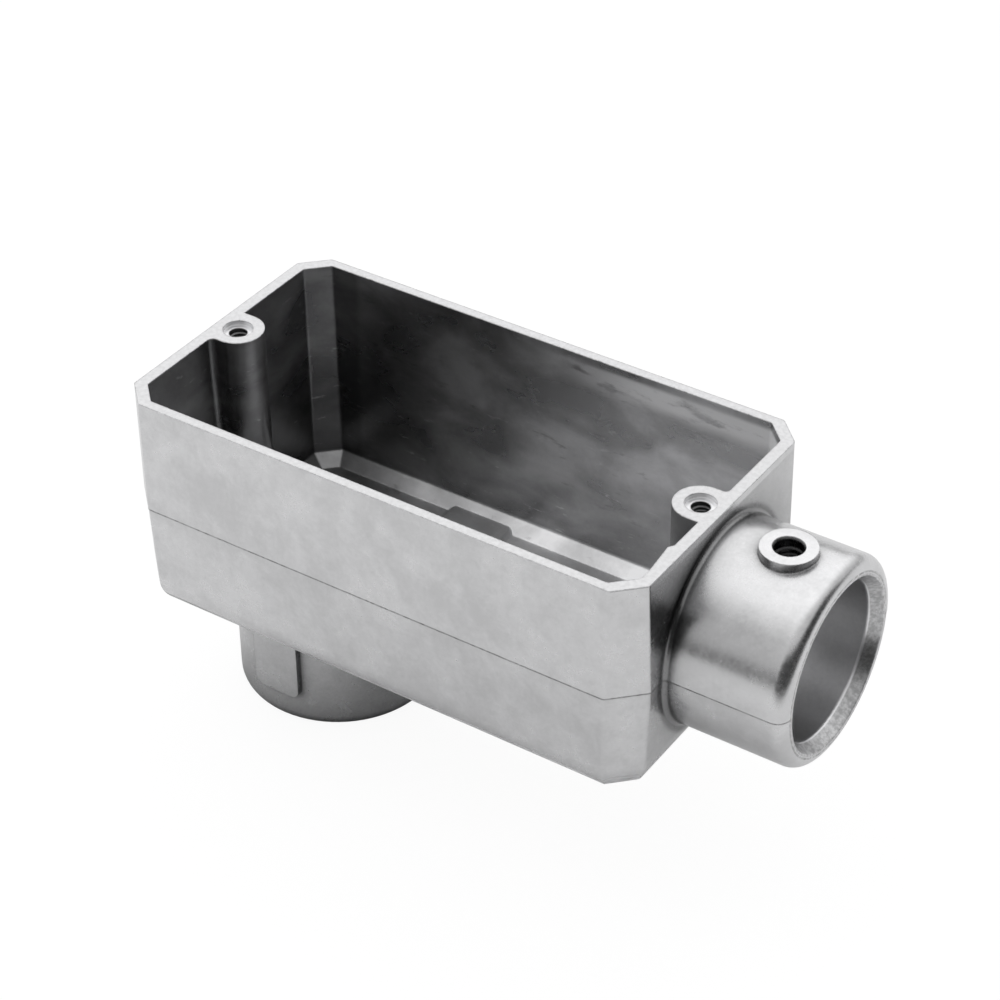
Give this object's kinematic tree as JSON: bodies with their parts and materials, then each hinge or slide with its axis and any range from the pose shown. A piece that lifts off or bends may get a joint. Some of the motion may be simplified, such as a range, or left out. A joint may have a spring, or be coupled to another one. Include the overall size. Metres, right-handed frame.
{
  "type": "conduit body",
  "caption": "Right-angle cast aluminium conduit body with an open top, an end hub and a back hub, with set-screw bosses for thin-walled tube and cover-screw bosses inside.",
  "frame": {"origin": "centre of the open cover rim, in the plane of the rim's face", "axes": "+Z out of the cover opening, +X out of the end hub; the back hub points along -Z, near the -X end"},
  "size_m": [0.1335, 0.0598, 0.0713],
  "materials": {
    "casting": "as-cast, tumbled, with a machined rim"
  },
  "bodies": {
    "root": {"conduit_body": "casting"}
  },
  "joints": []
}
